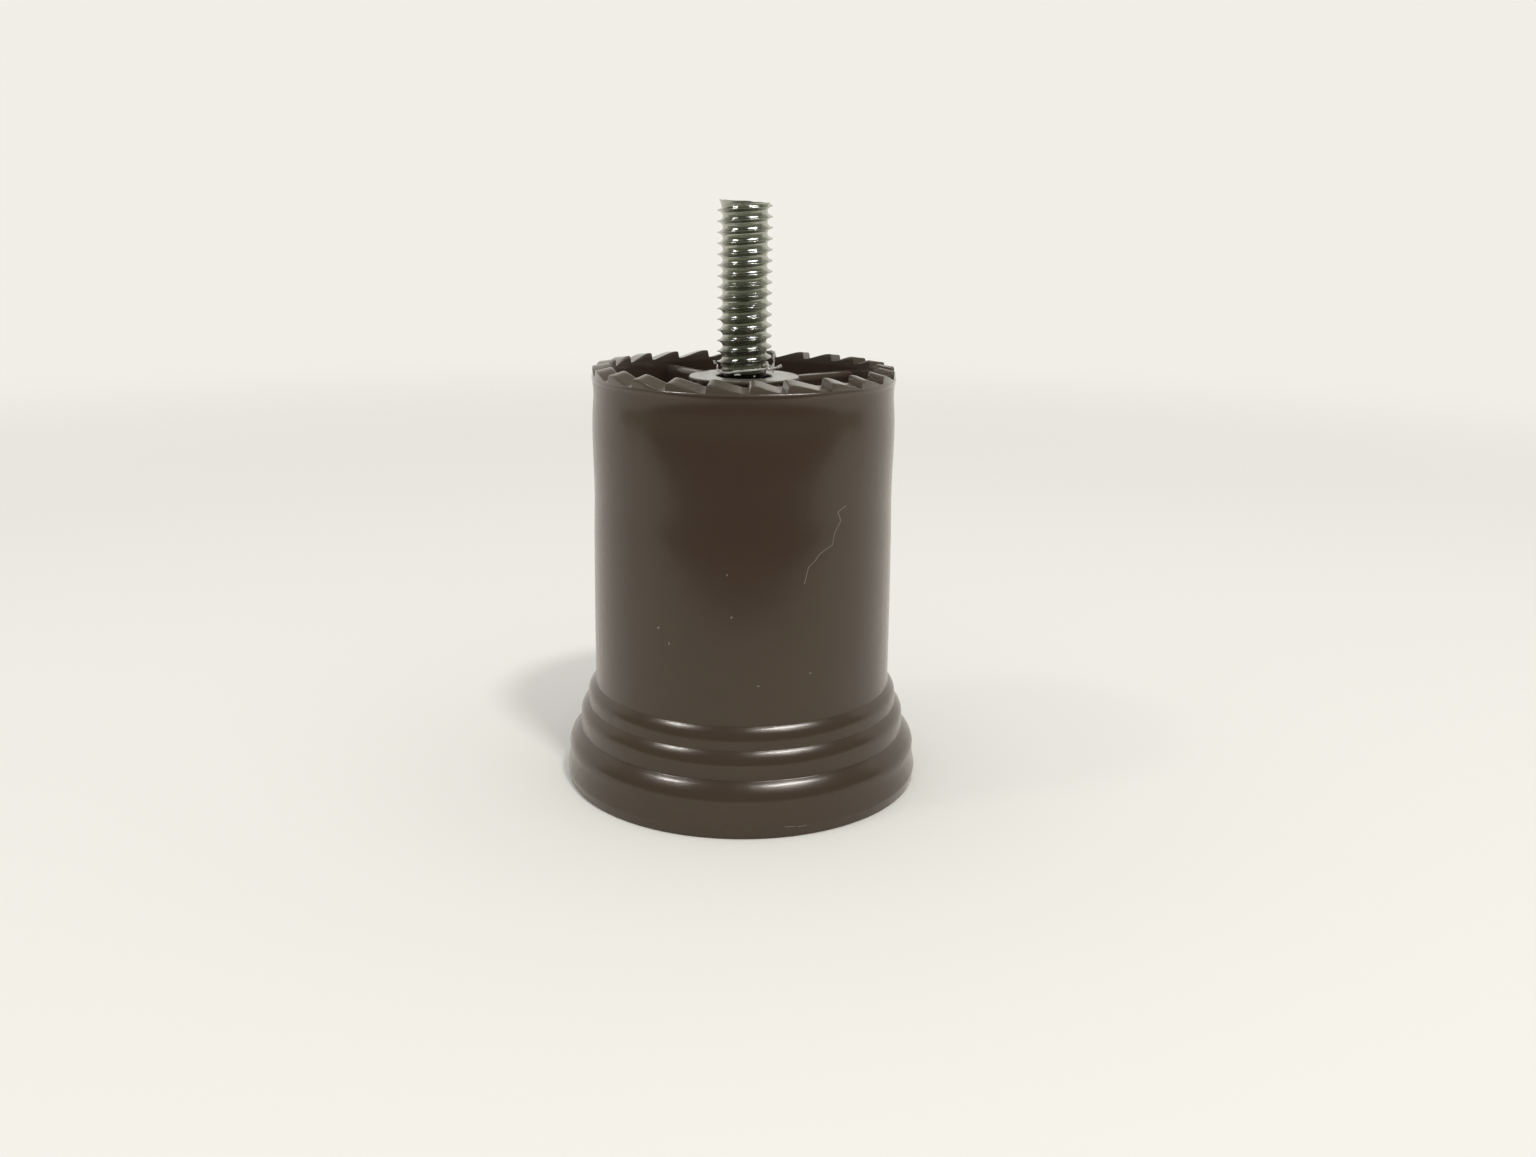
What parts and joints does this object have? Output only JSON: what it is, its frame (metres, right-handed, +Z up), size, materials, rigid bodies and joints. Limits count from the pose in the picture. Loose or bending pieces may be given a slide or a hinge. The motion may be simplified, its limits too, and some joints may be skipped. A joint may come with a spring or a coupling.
{
  "type": "furniture leg",
  "caption": "Short round moulded plastic furniture leg with a stepped flared base, a saw-toothed rim, inner ribs and a threaded steel stud for screwing into the furniture.",
  "frame": {"origin": "middle of the flat underside, on the floor", "axes": "+Z up the leg's axis towards the stud's tip; -Y towards the viewer in the picture"},
  "size_m": [0.0516, 0.0516, 0.0818],
  "materials": {
    "brown_plastic": "semi-gloss dark brown moulding, fine matt texture on the teeth",
    "zinc_plated_steel": "bright zinc plate with rolled thread"
  },
  "bodies": {
    "root": {"leg_body": "brown_plastic", "threaded_stud": "zinc_plated_steel"}
  },
  "joints": []
}
